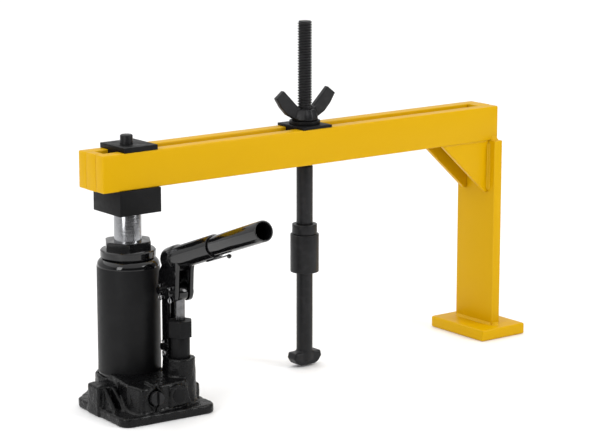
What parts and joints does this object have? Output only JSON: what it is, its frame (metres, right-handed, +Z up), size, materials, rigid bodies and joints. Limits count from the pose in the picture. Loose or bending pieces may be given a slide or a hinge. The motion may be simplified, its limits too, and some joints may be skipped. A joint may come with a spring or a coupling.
{
  "type": "hydraulic lifting frame jack",
  "caption": "Bottle jack that raises one end of a slotted beam on a welded leg, with a screw-adjusted T-key for lifting covers.",
  "frame": {"origin": "on the floor, on the axis of the jack's ram", "axes": "+X along the beam from the jack to the leg, +Z up, -Y the side of the pump handle"},
  "size_m": [0.5969, 0.274, 0.394],
  "materials": {
    "yellow_paint": "smooth yellow powder coat, satin gloss",
    "black_paint": "satin black coating",
    "gloss_black": "gloss black enamel",
    "cast_black": "black enamel over a rough casting",
    "ground_steel": "ground and polished steel",
    "black_rubber": "matt oil-resistant rubber"
  },
  "bodies": {
    "jack": {"jack_base": "cast_black", "reservoir_tube": "gloss_black", "tank_gasket": "black_rubber", "inner_cylinder": "ground_steel", "gland_nut": "black_paint", "gland_seal": "black_rubber", "oil_filler_plug": "black_rubber", "pump_body": "black_paint", "pump_nut": "black_paint", "plunger_seal": "black_rubber", "link_straps": "black_paint", "fulcrum_pin": "black_paint", "link_base_pin": "black_paint", "fulcrum_split_pins": "ground_steel", "valve_plug": "black_paint", "delivery_ball": "ground_steel", "delivery_spring": "ground_steel", "suction_ball": "ground_steel", "release_ball": "ground_steel"},
    "ram": {"ram": "ground_steel", "ram_piston": "ground_steel", "piston_seal": "black_rubber"},
    "extension_screw": {"extension_screw": "ground_steel"},
    "saddle": {"saddle_block": "black_paint", "saddle_clamp_plate": "black_paint", "saddle_stud": "black_paint"},
    "frame": {"beam_bar_front": "yellow_paint", "beam_bar_rear": "yellow_paint", "beam_spacer_left": "yellow_paint", "beam_spacer_right": "yellow_paint", "leg_plate": "yellow_paint", "foot_plate": "yellow_paint", "gusset_front": "yellow_paint", "gusset_rear": "yellow_paint", "weld_beads": "yellow_paint"},
    "carriage": {"slot_plate": "black_paint", "thrust_washer": "black_paint"},
    "wing_nut": {"wing_nut": "black_paint"},
    "rod": {"lifting_rod": "black_paint", "rod_shank": "black_paint", "coupling_collar": "black_paint", "coupling_sleeve": "black_paint"},
    "key": {"t_key": "black_paint"},
    "handle_socket": {"handle_socket": "gloss_black", "socket_ears": "gloss_black", "handle_clip": "black_paint", "plunger_pin": "black_paint", "plunger_split_pin": "ground_steel"},
    "handle_tube": {"handle_tube": "gloss_black"},
    "plunger": {"pump_plunger": "ground_steel"},
    "release_valve": {"release_valve": "ground_steel"}
  },
  "joints": [
    {"name": "ram_lift", "type": "slide", "parent": "jack", "child": "ram", "axis": [0, 0, 1], "range_m": [-0.022, 0.08]},
    {"name": "screw_turn", "type": "hinge", "parent": "ram", "child": "extension_screw", "pos_m": [0, 0, 0.2], "axis": [0, 0, 1], "range_deg": [-45, 90]},
    {"name": "saddle_tilt", "type": "hinge", "parent": "extension_screw", "child": "saddle", "pos_m": [0, 0, 0.208], "axis": [0, 1, 0], "range_deg": [-2.6, 9.1]},
    {"name": "beam_slide", "type": "slide", "parent": "saddle", "child": "frame", "axis": [1, 0, 0], "range_m": [-0.04, 0.01]},
    {"name": "carriage_slide", "type": "slide", "parent": "frame", "child": "carriage", "axis": [1, 0, 0], "range_m": [-0.09, 0.17]},
    {"name": "nut_spin", "type": "hinge", "parent": "carriage", "child": "wing_nut", "pos_m": [0.2368, 0, 0.291], "axis": [0, 0, 1], "range_deg": [-361, 10202]},
    {"name": "rod_lift", "type": "slide", "parent": "carriage", "child": "rod", "axis": [0, 0, 1], "range_m": [-0.085, 0.003]},
    {"name": "key_turn", "type": "hinge", "parent": "rod", "child": "key", "pos_m": [0.2368, 0, 0.114], "axis": [0, 0, 1], "range_deg": [-90, 90]},
    {"name": "handle_pump", "type": "hinge", "parent": "jack", "child": "handle_socket", "pos_m": [0.02656, -0.03975, 0.128], "axis": [0.998, -0.0628, 0], "range_deg": [-16, 25]},
    {"name": "handle_slide", "type": "slide", "parent": "handle_socket", "child": "handle_tube", "axis": [-0.0592, -0.9414, 0.3322], "range_m": [0, 0.045]},
    {"name": "plunger_stroke", "type": "slide", "parent": "jack", "child": "plunger", "axis": [0, 0, 1], "range_m": [-0.0088, 0.0056]},
    {"name": "release_turn", "type": "hinge", "parent": "jack", "child": "release_valve", "pos_m": [-0.02367, -0.07366, 0.027], "axis": [-0.0628, -0.998, 0], "range_deg": [0, 540]}
  ],
  "couplings": [
    {"joint": "saddle_tilt", "follows": "ram_lift", "rad_per_m": 1.95},
    {"joint": "nut_spin", "follows": "rod_lift", "rad_per_m": -2094.4},
    {"joint": "plunger_stroke", "follows": "handle_pump", "m_per_rad": -0.02}
  ]
}
